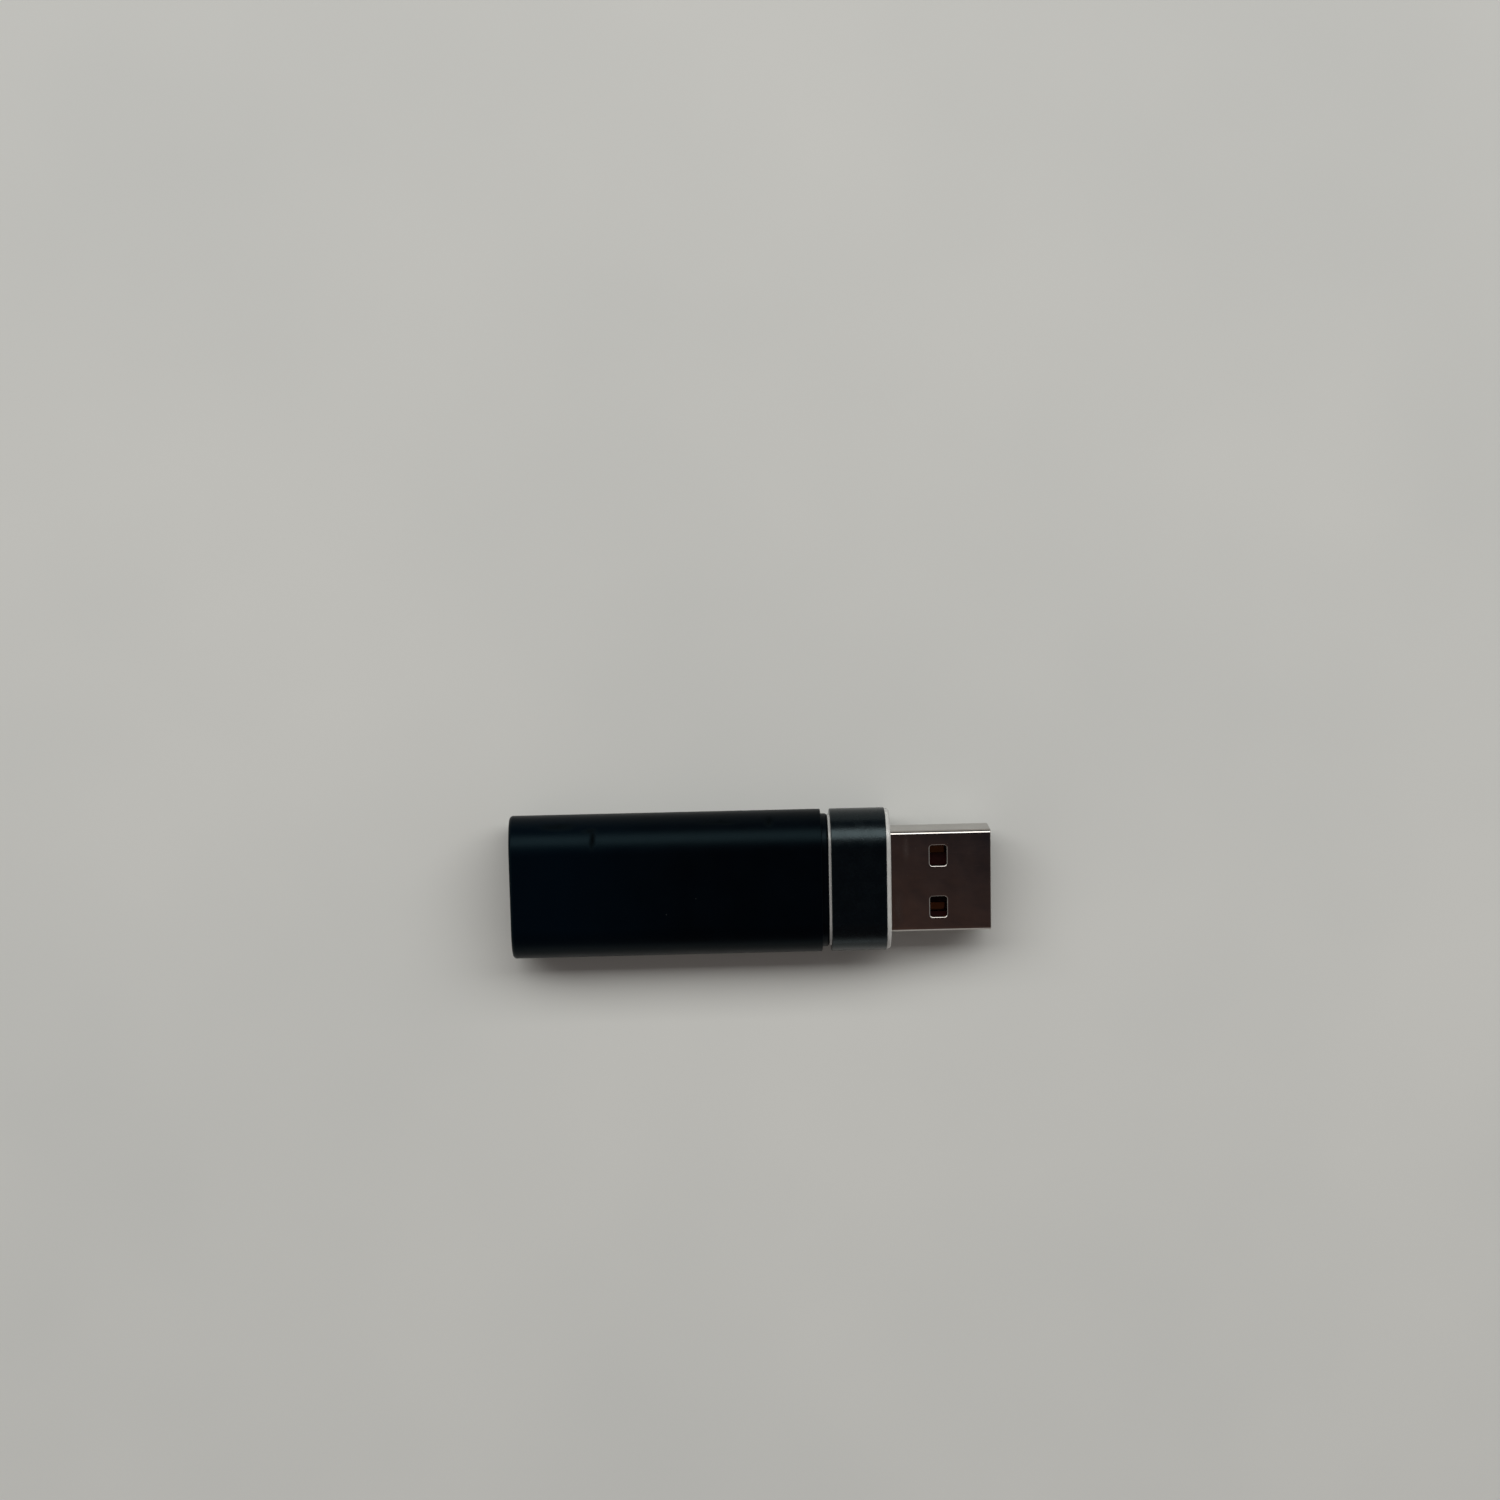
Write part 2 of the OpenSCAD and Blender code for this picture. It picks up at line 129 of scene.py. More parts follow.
def fix_normals(obj):
    bm = bmesh.new()
    bm.from_mesh(obj.data)
    bmesh.ops.remove_doubles(bm, verts=bm.verts, dist=1e-8)
    bmesh.ops.recalc_face_normals(bm, faces=bm.faces)
    bm.to_mesh(obj.data)
    bm.free()
    return obj


def loft(name, rings, close_path=False):
    """Skins a row of rings with the same number of points. The ends are capped, or joined."""
    count = len(rings[0])
    verts = [p for ring in rings for p in ring]
    faces = []
    pairs = len(rings) if close_path else len(rings) - 1
    for i in range(pairs):
        a, b = i * count, ((i + 1) % len(rings)) * count
        for k in range(count):
            n = (k + 1) % count
            faces.append((a + k, a + n, b + n, b + k))
    if not close_path:
        faces.append(tuple(range(count - 1, -1, -1)))
        faces.append(tuple(range((len(rings) - 1) * count, len(rings) * count)))
    return fix_normals(new_object(name, verts, faces))


def arc_points(centre, r, start, end, steps=ROUND_STEPS):
    """Points on an arc from start to end, in degrees, round a centre."""
    angles = [math.radians(start + (end - start) * i / steps) for i in range(steps + 1)]
    return [(centre[0] + r * math.cos(a), centre[1] + r * math.sin(a)) for a in angles]


def stadium_ring(x, inset):
    """One outline of the body at station x, moved in from the outside by inset."""
    r = BODY_T / 2 - inset
    reach = (BODY_W - BODY_T) / 2
    sides = arc_points((reach, AXIS_Z), r, -90, 90, HALF_ROUND_STEPS)
    sides += arc_points((-reach, AXIS_Z), r, 90, 270, HALF_ROUND_STEPS)
    return [Vector((x, y, z)) for y, z in sides]


def rect_outline(width, height, r, centre):
    """Rectangle with rounded corners."""
    points = []
    for sx, sy, start in ((1, -1, -90), (1, 1, 0), (-1, 1, 90), (-1, -1, 180)):
        corner = (centre[0] + sx * (width / 2 - r), centre[1] + sy * (height / 2 - r))
        points += arc_points(corner, r, start, start + 90, SOFT_STEPS)
    return points


def plug_ring(x, inset):
    """One outline of the plug's shell at station x, moved in by inset."""
    outline = rect_outline(
        SHELL_W - 2 * inset, SHELL_T - 2 * inset, SHELL_R - inset, (0.0, AXIS_Z)
    )
    return [Vector((x, y, z)) for y, z in outline]


def boolean(obj, tool, operation):
    """Cuts obj with tool, or joins them, and throws the tool away."""
    change = obj.modifiers.new("cut", "BOOLEAN")
    change.operation = operation
    change.object = tool
    change.solver = "EXACT"
    graph = bpy.context.evaluated_depsgraph_get()
    result = bpy.data.meshes.new_from_object(obj.evaluated_get(graph))
    obj.modifiers.clear()
    old = obj.data
    obj.data = result
    bpy.data.meshes.remove(old)
    bpy.data.objects.remove(tool)
    return fix_normals(obj)


def box_tool(low, high):
    (x0, y0, z0), (x1, y1, z1) = low, high
    verts = [(x, y, z) for x in (x0, x1) for y in (y0, y1) for z in (z0, z1)]
    faces = [(0, 1, 3, 2), (4, 6, 7, 5), (0, 4, 5, 1), (2, 3, 7, 6), (0, 2, 6, 4), (1, 5, 7, 3)]
    return fix_normals(new_object("tool", verts, faces))


def smooth(obj):
    """Smooth shading with crisp edges, where the large faces keep their own normals."""
    obj.data.shade_smooth()
    obj.data.set_sharp_from_angle(angle=SHARP_ANGLE)
    weight = obj.modifiers.new("weighted_normals", "WEIGHTED_NORMAL")
    weight.keep_sharp = True
    return obj


def stand_for(obj, node, body):
    """The piece is shown in place of a CAD node, on its body."""
    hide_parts(node)
    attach(obj, body)
    return obj


# ---------------------------------------------------------------- material helpers

def node_material(name, color, metallic=0.0, roughness=0.5, specular=0.5):
    mat = bpy.data.materials.new(name)
    mat.use_nodes = True
    shader = mat.node_tree.nodes["Principled BSDF"]
    shader.inputs["Base Color"].default_value = (*color, 1.0)
    shader.inputs["Metallic"].default_value = metallic
    shader.inputs["Roughness"].default_value = roughness
    shader.inputs["Specular IOR Level"].default_value = specular
    return mat, shader


def add(mat, kind, **inputs):
    """Adds a node and sets or links its inputs by name."""
    made = mat.node_tree.nodes.new(kind)
    for name, value in inputs.items():
        connect(mat, value, made.inputs[name.replace("_", " ")])
    return made


def connect(mat, value, socket):
    if isinstance(value, bpy.types.NodeSocket):
        mat.node_tree.links.new(value, socket)
    else:
        socket.default_value = value


def place(mat, stretch=(1.0, 1.0, 1.0)):
    """The piece's own coordinates, in metres, stretched along each axis."""
    coords = add(mat, "ShaderNodeTexCoord")
    scaled = add(mat, "ShaderNodeMapping", Vector=coords.outputs["Object"], Scale=stretch)
    return scaled.outputs["Vector"]


def noise(mat, feature, detail=2.0, rough=0.5, stretch=(1.0, 1.0, 1.0)):
    """Noise whose bumps are about feature metres across."""
    made = add(
        mat, "ShaderNodeTexNoise", Vector=place(mat, stretch), Scale=1.0 / feature,
        Detail=detail, Roughness=rough,
    )
    return made.outputs["Fac"]


def spread(mat, value, low, high, to_low=0.0, to_high=1.0):
    """Maps low..high of a value to to_low..to_high, clamped."""
    made = add(mat, "ShaderNodeMapRange")
    for name, number in (
        ("Value", value), ("From Min", low), ("From Max", high),
        ("To Min", to_low), ("To Max", to_high),
    ):
        connect(mat, number, made.inputs[name])
    return made.outputs["Result"]


def mix_colors(mat, factor, first, second):
    made = mat.node_tree.nodes.new("ShaderNodeMix")
    made.data_type = "RGBA"
    colors = [s for s in made.inputs if s.type == "RGBA"]
    connect(mat, factor, made.inputs["Factor"])
    for socket, value in zip(colors, (first, second)):
        connect(mat, value if isinstance(value, bpy.types.NodeSocket) else (*value, 1.0), socket)
    return [s for s in made.outputs if s.type == "RGBA"][0]


def math_node(mat, operation, first, second):
    made = mat.node_tree.nodes.new("ShaderNodeMath")
    made.operation = operation
    for number, value in enumerate((first, second)):
        connect(mat, value, made.inputs[number])
    return made.outputs["Value"]


def bump(mat, shader, height, depth, under=None):
    """A bump of that depth in metres, on top of another one."""
    made = add(mat, "ShaderNodeBump", Height=height, Distance=depth, Strength=1.0)
    if under is not None:
        connect(mat, under, made.inputs["Normal"])
    mat.node_tree.links.new(made.outputs["Normal"], shader.inputs["Normal"])
    return made.outputs["Normal"]


def specks(mat, pitch, radius, share):
    """Mask of small round specks: one cell every pitch, and only a share of the cells has one."""
    cells = add(mat, "ShaderNodeTexVoronoi", Vector=place(mat), Scale=1.0 / pitch)
    near = spread(mat, cells.outputs["Distance"], radius / pitch, 0.5 * radius / pitch)
    pick = mat.node_tree.nodes.new("ShaderNodeSeparateColor")
    connect(mat, cells.outputs["Color"], pick.inputs["Color"])
    chosen = math_node(mat, "LESS_THAN", pick.outputs["Red"], share)
    return math_node(mat, "MULTIPLY", near, chosen)


def vector_node(mat, operation, *values):
    made = mat.node_tree.nodes.new("ShaderNodeVectorMath")
    made.operation = operation
    for socket, value in zip(made.inputs, values):
        connect(mat, value, socket)
    return made.outputs


def smear(mat, centre, reach, feather, wobble):
    """Oval mask with a soft, wobbly edge, like a smear. Centre, reach and wobble are in millimetres."""
    swirl = add(mat, "ShaderNodeTexNoise", Vector=place(mat), Scale=1.0 / (1.2 * MM), Detail=3.0)
    shift = (wobble * MM,) * 3
    moved = vector_node(mat, "MULTIPLY_ADD", swirl.outputs["Color"], shift, place(mat))["Vector"]
    middle = tuple((c + wobble / 2) * MM for c in centre)
    offset = vector_node(mat, "SUBTRACT", moved, middle)["Vector"]
    scaled = vector_node(mat, "DIVIDE", offset, tuple(r * MM for r in reach))["Vector"]
    return spread(mat, vector_node(mat, "LENGTH", scaled)["Value"], 1.0, 1.0 - feather)


# ---------------------------------------------------------------- materials of the outside

# Centre and reach of each mark on the sleeve's rounding, in millimetres
GREASE_MARKS = (
    ((-18.3, 6.0, 7.4), (0.5, 1.6, 1.6)),
    ((-18.6, 6.9, 6.9), (1.3, 0.5, 0.7)),
    ((-22.4, 7.4, 6.4), (2.6, 0.7, 1.0)),
    ((2.2, 7.5, 6.4), (0.7, 1.0, 1.2)),
    ((-3.5, 7.5, 6.4), (3.4, 0.4, 0.6)),
)

# The same for the smears on the plug's wide face
TOUCH_MARKS = (
    ((18.1, 3.8, 6.35), (0.5, 2.6, 1.0)),
    ((17.2, -3.0, 6.35), (0.8, 3.4, 1.0)),
)


def sleeve_material():
    """Matte blue-black plastic, bluer at the rear, with a fine grain, grease marks and dust."""
    mat, shader = node_material("sleeve_matte_black", (0.0009, 0.0016, 0.0034), roughness=0.36)
    shader.inputs["Specular IOR Level"].default_value = 0.066
    shader.inputs["Specular Tint"].default_value = (0.5, 0.88, 1.0, 1.0)
    cloud = spread(mat, noise(mat, 6 * MM, detail=3.0), 0.35, 0.65)
    color = mix_colors(mat, cloud, (0.0002, 0.0006, 0.0015), (0.0003, 0.0009, 0.0021))
    along = add(mat, "ShaderNodeSeparateXYZ", Vector=place(mat)).outputs["X"]
    rear = spread(mat, along, -8 * MM, -22 * MM)
    color = mix_colors(mat, rear, color, (0.0003, 0.0017, 0.0038))
    marks = 0.0
    for centre, reach in GREASE_MARKS:
        marks = math_node(mat, "MAXIMUM", marks, smear(mat, centre, reach, 0.8, 0.5))
    color = mix_colors(mat, marks, color, (0.0002, 0.0003, 0.0005))
    dust = specks(mat, 3.4 * MM, 0.07 * MM, 0.22)
    color = mix_colors(mat, dust, color, (0.025, 0.026, 0.024))
    connect(mat, color, shader.inputs["Base Color"])
    smudge = spread(mat, noise(mat, 3 * MM, 4.0, 0.6), 0.35, 0.65, 0.345, 0.385)
    rough = math_node(mat, "ADD", smudge, math_node(mat, "MULTIPLY", marks, 0.5))
    connect(mat, rough, shader.inputs["Roughness"])
    grain = bump(mat, shader, noise(mat, 0.11 * MM, 2.0, 0.6), 0.003 * MM)
    bump(mat, shader, dust, 0.01 * MM, grain)
    return mat


def collar_material():
    """Satin blue-black coat with a metallic grain that sparkles in the highlight."""
    mat, shader = node_material("collar_satin_coat", (0.0010, 0.0024, 0.0036), roughness=0.27)
    shader.inputs["Specular IOR Level"].default_value = 0.33
    shader.inputs["Specular Tint"].default_value = (0.72, 0.94, 1.0, 1.0)
    flakes = add(mat, "ShaderNodeTexVoronoi", Vector=place(mat), Scale=1.0 / (0.13 * MM))
    tone = mat.node_tree.nodes.new("ShaderNodeSeparateColor")
    connect(mat, flakes.outputs["Color"], tone.inputs["Color"])
    bright = spread(mat, tone.outputs["Red"], 0.5, 1.0)
    color = mix_colors(mat, bright, (0.0003, 0.0012, 0.0022), (0.0010, 0.0026, 0.0040))
    connect(mat, color, shader.inputs["Base Color"])
    patches = spread(mat, noise(mat, 1.6 * MM, 3.0), 0.35, 0.65, 0.23, 0.29)
    connect(mat, patches, shader.inputs["Roughness"])
    grain = bump(mat, shader, noise(mat, 0.2 * MM, 2.0, 0.6), 0.010 * MM)
    bump(mat, shader, tone.outputs["Green"], 0.0008 * MM, grain)
    return mat


def guide_material():
    """Clear, slightly milky moulded plastic with a polished skin."""
    mat, shader = node_material("light_guide_clear", (0.86, 0.86, 0.83), roughness=0.14)
    shader.inputs["IOR"].default_value = 1.49
    shader.inputs["Transmission Weight"].default_value = 0.5
    milk = spread(mat, noise(mat, 0.8 * MM, 3.0), 0.35, 0.65)
    color = mix_colors(mat, milk, (0.84, 0.84, 0.81), (0.93, 0.93, 0.90))
    connect(mat, color, shader.inputs["Base Color"])
    polish = spread(mat, noise(mat, 0.5 * MM), 0.3, 0.7, 0.10, 0.18)
    connect(mat, polish, shader.inputs["Roughness"])
    bump(mat, shader, noise(mat, 0.3 * MM, 2.0), 0.002 * MM)
    return mat


def steel_material():
    """Plated sheet steel: rolled grain along the plug, fine scratches, dull patches and smears."""
    mat, shader = node_material("plug_plated_steel", (0.41, 0.39, 0.36), metallic=1.0, roughness=0.12)
    cloud = spread(mat, noise(mat, 3 * MM, 3.0, 0.55), 0.35, 0.65)
    color = mix_colors(mat, cloud, (0.385, 0.36, 0.335), (0.435, 0.41, 0.385))
    scratch = spread(mat, noise(mat, 0.07 * MM, 2.0, 0.5, (0.03, 1.0, 1.0)), 0.7, 0.78)
    color = mix_colors(mat, scratch, color, (0.54, 0.52, 0.50))
    connect(mat, color, shader.inputs["Base Color"])
    dull = spread(mat, noise(mat, 1.8 * MM, 4.0, 0.6), 0.38, 0.66, 0.09, 0.14)
    for centre, reach in TOUCH_MARKS:
        touched = smear(mat, centre, reach, 0.9, 0.5)
        dull = math_node(mat, "ADD", dull, math_node(mat, "MULTIPLY", touched, 0.12))
    rough = math_node(mat, "ADD", dull, math_node(mat, "MULTIPLY", scratch, 0.08))
    connect(mat, rough, shader.inputs["Roughness"])
    rolled = noise(mat, 0.14 * MM, 2.0, 0.5, (0.08, 1.0, 1.0))
    grain = bump(mat, shader, rolled, 0.0004 * MM)
    bump(mat, shader, noise(mat, 3.0 * MM, 2.0), 0.012 * MM, grain)
    return mat


def moulded_material(
    name, light, dark, roughness, grain, depth, specular=0.4, tint=(1.0, 1.0, 1.0)
):
    """Plain moulded plastic, ceramic or epoxy: two tones and a fine grain, in millimetres."""
    mat, shader = node_material(name, light, roughness=roughness, specular=specular)
    shader.inputs["Specular Tint"].default_value = (*tint, 1.0)
    tones = spread(mat, noise(mat, 25 * grain * MM, 3.0), 0.35, 0.65)
    connect(mat, mix_colors(mat, tones, dark, light), shader.inputs["Base Color"])
    patches = noise(mat, 12 * grain * MM, 3.0)
    rough = spread(mat, patches, 0.3, 0.7, roughness - 0.06, roughness + 0.06)
    connect(mat, rough, shader.inputs["Roughness"])
    bump(mat, shader, noise(mat, grain * MM, 3.0, 0.6), depth * MM)
    return mat


def metal_material(name, light, dark, roughness, stretch):
    """Small plated or stamped metal piece with a fine grain."""
    mat, shader = node_material(name, light, metallic=1.0, roughness=roughness)
    tones = spread(mat, noise(mat, 0.6 * MM, 3.0), 0.35, 0.65)
    connect(mat, mix_colors(mat, tones, dark, light), shader.inputs["Base Color"])
    rough = spread(mat, noise(mat, 0.3 * MM, 3.0), 0.3, 0.7, roughness - 0.07, roughness + 0.07)
    connect(mat, rough, shader.inputs["Roughness"])
    bump(mat, shader, noise(mat, 0.08 * MM, 2.0, 0.5, stretch), 0.0008 * MM)
    return mat


def board_material():
    """Green solder mask over copper: the tracks show as lighter raised bands."""
    mat, shader = node_material("board_solder_mask", (0.012, 0.10, 0.055), roughness=0.32)
    tracks = add(mat, "ShaderNodeTexBrick", Vector=place(mat), Scale=1.0 / (1.3 * MM), Mortar_Size=0.09)
    lines = tracks.outputs["Fac"]
    copper = math_node(mat, "MULTIPLY", lines, spread(mat, noise(mat, 4 * MM), 0.45, 0.55))
    color = mix_colors(mat, copper, (0.010, 0.085, 0.045), (0.020, 0.16, 0.085))
    connect(mat, color, shader.inputs["Base Color"])
    weave = bump(mat, shader, noise(mat, 0.3 * MM, 2.0), 0.002 * MM)
    bump(mat, shader, copper, 0.02 * MM, weave)
    return mat


# ---------------------------------------------------------------- outer shells

def make_sleeve():
    """Deep cup: closed rounded end, rolled mouth, smooth bore, pusher cross and hook pockets."""
    x0, x1 = SLEEVE[0].x, SLEEVE[1].x
    bore_x0 = x0 + END_WALL
    path = arc_points((x0 + SLEEVE_END_R, SLEEVE_END_R), SLEEVE_END_R, 180, 270, SOFT_STEPS)
    path += arc_points((x1 - EDGE_R, EDGE_R), EDGE_R, 270, 360)
    inner = SLEEVE_WALL - BORE_EDGE_R
    path += arc_points((x1 - BORE_EDGE_R, inner), BORE_EDGE_R, 0, 90, BORE_STEPS)
    path += arc_points((bore_x0 + EDGE_R, SLEEVE_WALL + EDGE_R), EDGE_R, 270, 180)
    shell = loft("sleeve_shell", [stadium_ring(x, inset) for x, inset in path])
    push_x1 = PLUNGER[0].x - SEAT_GAP
    push_z = (PLUNGER[0].z + PLUNGER[1].z) / 2
    root_x = bore_x0 - 0.2 * MM
    for width, height, end_x in (
        (RIB_SPAN, RIB_THICK, push_x1), (RIB_THICK, RIB_SPAN, push_x1 - MM)
    ):
        low = (root_x, -width / 2, push_z - height / 2)
        high = (end_x, width / 2, push_z + height / 2)
        shell = boolean(shell, box_tool(low, high), "UNION")
    overlap = 0.1 * MM
    for wall_z, inward in ((SLEEVE_WALL, 1), (BODY_T - SLEEVE_WALL, -1)):
        ends = sorted((wall_z - inward * POCKET_DEPTH, wall_z + inward * overlap))
        low = (x0 + POCKET_X[0], -POCKET_W / 2, ends[0])
        high = (x0 + POCKET_X[1], POCKET_W / 2, ends[1])
        shell = boolean(shell, box_tool(low, high), "DIFFERENCE")
    return stand_for(smooth(shell), "sleeve", "button_sleeve")


def make_collar():
    """Ring with rolled edges."""
    x0, x1 = COLLAR[0].x, COLLAR[1].x
    path = arc_points((x0 + EDGE_R, EDGE_R), EDGE_R, 180, 270)
    path += arc_points((x1 - EDGE_R, EDGE_R), EDGE_R, 270, 360)
    inner = COLLAR_WALL - BORE_EDGE_R
    path += arc_points((x1 - BORE_EDGE_R, inner), BORE_EDGE_R, 0, 90, BORE_STEPS)
    path += arc_points((x0 + BORE_EDGE_R, inner), BORE_EDGE_R, 90, 180, BORE_STEPS)
    ring = loft("collar_ring", [stadium_ring(x, inset) for x, inset in path], close_path=True)
    return stand_for(smooth(ring), "collar", "base")


def make_light_guide():
    """Core inside the collar and a rounded lip in front of it, round the plug's own hole."""
    x0, x1, seat_x = GUIDE[0].x, GUIDE[1].x, COLLAR[1].x
    core = COLLAR_WALL + SEAT_GAP
    path = arc_points((x0 + BORE_EDGE_R, core + BORE_EDGE_R), BORE_EDGE_R, 180, 270, BORE_STEPS)
    path += [(seat_x, core), (seat_x, LIP_INSET)]
    path += arc_points((x1 - LIP_R, LIP_INSET + LIP_R), LIP_R, 270, 360, SOFT_STEPS)
    guide = loft("light_guide_body", [stadium_ring(x, inset) for x, inset in path])
    hole = loft("tool", [plug_ring(x, -SEAT_GAP) for x in (x0 - MM, x1 + MM)])
    guide = boolean(guide, hole, "DIFFERENCE")
    return stand_for(smooth(guide), "light_guide", "base")


def latch_tool(x, y, side):
    """Cutter for a latch hole: straight through the wall, then flared into a rolled rim."""
    face_z = AXIS_Z + side * SHELL_T / 2
    steps = [(0.0, -2 * SHELL_WALL)]
    steps += arc_points((LATCH_RIM, -LATCH_RIM), LATCH_RIM, 180, 90)
    steps.append((LATCH_RIM, SHELL_WALL))
    rings = []
    for grow, rise in steps:
        outline = rect_outline(
            LATCH_SIZE[0] + 2 * grow, LATCH_SIZE[1] + 2 * grow, LATCH_R + grow, (x, y)
        )
        rings.append([Vector((px, py, face_z + side * rise)) for px, py in outline])
    return loft("tool", rings)


def seam_tools():
    """Narrow slits of the clinched seam: straight runs and two dovetails."""
    run = [(SHELL[0].x - MM, 0.0)]
    for x in (TIP_X - BLOCK_BACK - 3.0 * MM, TIP_X - LATCH_BACK + 1.9 * MM):
        end_x = x + DOVETAIL_LEN
        run += [(x, 0.0), (x - SEAM_SLANT, SEAM_STEP), (end_x + SEAM_SLANT, SEAM_STEP), (end_x, 0.0)]
    run.append((TIP_X + MM, 0.0))
    tools = []
    for (ax, ay), (bx, by) in zip(run, run[1:]):
        along = Vector((bx - ax, by - ay)).normalized() * SEAM_W / 2
        aside = Vector((-along.y, along.x))
        ends = [
            Vector((ax, ay)) - along + aside, Vector((ax, ay)) - along - aside,
            Vector((bx, by)) + along - aside, Vector((bx, by)) + along + aside,
        ]
        floor_z = AXIS_Z - SHELL_T / 2
        rings = [[(p.x, p.y, z) for p in ends] for z in (floor_z - MM, floor_z + 1.5 * SHELL_WALL)]
        tools.append(loft("tool", rings))
    return tools


def make_shell():
    """Folded plug shell: rolled tip, latch holes with soft rims, seam underneath, rear legs."""
    x0, x1 = TIP_X - SHELL_TUBE_LEN, TIP_X
    path = [(x0, 0.0)]
    path += arc_points((x1 - SHELL_TIP_R, SHELL_TIP_R), SHELL_TIP_R, 270, 360)
    path += arc_points((x1 - SHELL_TIP_R, SHELL_WALL - SHELL_TIP_R), SHELL_TIP_R, 0, 90)
    path.append((x0, SHELL_WALL))
    shell = loft("plug_shell", [plug_ring(x, inset) for x, inset in path], close_path=True)
    for face in (-1, 1):
        for side in (-1, 1):
            cutter = latch_tool(TIP_X - LATCH_BACK, side * LATCH_PITCH / 2, face)
            shell = boolean(shell, cutter, "DIFFERENCE")
    for cutter in seam_tools():
        shell = boolean(shell, cutter, "DIFFERENCE")
    leg_low, leg_high = SHELL[0].z + SHELL_WALL + 0.2 * MM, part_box("circuit_board")[0].z
    for side in (-1, 1):
        ys = sorted((side * SHELL_W / 2, side * (SHELL_W / 2 - SHELL_WALL)))
        leg = box_tool((SHELL[0].x, ys[0], leg_low), (x0 + 0.2 * MM, ys[1], leg_high))
        shell = boolean(shell, leg, "UNION")
    return stand_for(smooth(shell), "usb_shell", "base")


def make_shells():
    finishes = (
        (make_sleeve, sleeve_material), (make_collar, collar_material),
        (make_light_guide, guide_material), (make_shell, steel_material),
    )
    for make, finish in finishes:
        piece = make()
        piece.data.materials.clear()
        piece.data.materials.append(finish())


# ---------------------------------------------------------------- CAD nodes that stay

def islands(mesh):
    """Groups of polygon numbers that hang together."""
    bm = bmesh.new()
    bm.from_mesh(mesh)
    bmesh.ops.remove_doubles(bm, verts=bm.verts, dist=1e-7)
    bm.faces.ensure_lookup_table()
    seen, groups = set(), []
    for face in bm.faces:
        if face.index in seen:
            continue
        seen.add(face.index)
        group, queue = [], [face]
        while queue:
            now = queue.pop()
            group.append(now.index)
            for edge in now.edges:
                for other in edge.link_faces:
                    if other.index not in seen:
                        seen.add(other.index)
                        queue.append(other)
        groups.append(group)
    bm.free()
    return groups


def dress(node, first, second=None, is_second=None, edge=0.0):
    """Gives a CAD node its material, and a second one to the faces that a test picks."""
    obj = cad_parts[node]
    obj.data.materials.clear()
    obj.data.materials.append(first)
    if second is not None:
        obj.data.materials.append(second)
        for group in islands(obj.data):
            faces = [obj.data.polygons[i] for i in group if i < len(obj.data.polygons)]
            corners = [obj.data.vertices[v].co for f in faces for v in f.vertices]
            low = Vector([min(c[i] for c in corners) for i in range(3)])
            high = Vector([max(c[i] for c in corners) for i in range(3)])
            for f in faces:
                f.material_index = int(is_second(f.center, low, high))
    obj.data.shade_smooth()
    obj.data.set_sharp_from_angle(angle=SHARP_ANGLE)
    if edge:
        soft = obj.modifiers.new("soft_edges", "BEVEL")
        soft.width = edge
        soft.segments = 2
        soft.limit_method = "ANGLE"
        soft.angle_limit = BEVEL_ANGLE
    return obj


def on_end_cap(point, low, high):
    """True on the metal ends of a small two-ended chip part."""
    size = high - low
    axis = 0 if size.x > size.y else 1
    along = (point[axis] - low[axis]) / size[axis]
    return along < 0.23 or along > 0.77


def on_leg(overhang):
    """Test for the legs that stand out of a package by overhang along Y."""
    return lambda point, low, high: min(point.y - low.y, high.y - point.y) < overhang


def on_pin(point, low, high):
    """True on the pins round a flat square package."""
    inset = 0.11 * MM
    beside = min(point.x - low.x, high.x - point.x, point.y - low.y, high.y - point.y)
    return beside < inset and point.z < low.z + 0.3 * MM


def above(share):
    return lambda point, low, high: point.z > low.z + share * (high.z - low.z)


def make_snap_dome(finish):
    """The snap dome, in the CAD shape and with its finish, in place of the CAD node."""
    dome = bpy.data.objects.new("snap_dome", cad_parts["switch_dome"].data.copy())
    bpy.context.scene.collection.objects.link(dome)
    dome.data.materials.clear()
    dome.data.materials.append(finish)
    stand_for(smooth(fix_normals(dome)), "switch_dome", "base")
    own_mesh(dome)


# Name, light and dark tone, roughness, then the size and depth of the grain in millimetres
MOULDED = (
    ("chip_epoxy", (0.022, 0.022, 0.024), (0.014, 0.014, 0.015), 0.6, 0.05, 0.002),
    ("ferrite_grey", (0.07, 0.07, 0.075), (0.045, 0.045, 0.05), 0.7, 0.06, 0.003),
    ("capacitor_tan", (0.34, 0.22, 0.12), (0.26, 0.16, 0.085), 0.55, 0.05, 0.002),
    ("filter_white", (0.62, 0.60, 0.55), (0.52, 0.50, 0.45), 0.5, 0.05, 0.002),
    ("resistor_glaze", (0.018, 0.018, 0.022), (0.010, 0.010, 0.012), 0.25, 0.06, 0.001),
    ("led_lens", (0.82, 0.80, 0.66), (0.72, 0.70, 0.58), 0.25, 0.1, 0.001),
    ("plunger_white", (0.70, 0.69, 0.64), (0.60, 0.59, 0.55), 0.4, 0.08, 0.002),
    ("switch_black", (0.028, 0.028, 0.028), (0.018, 0.018, 0.018), 0.5, 0.06, 0.002),
)

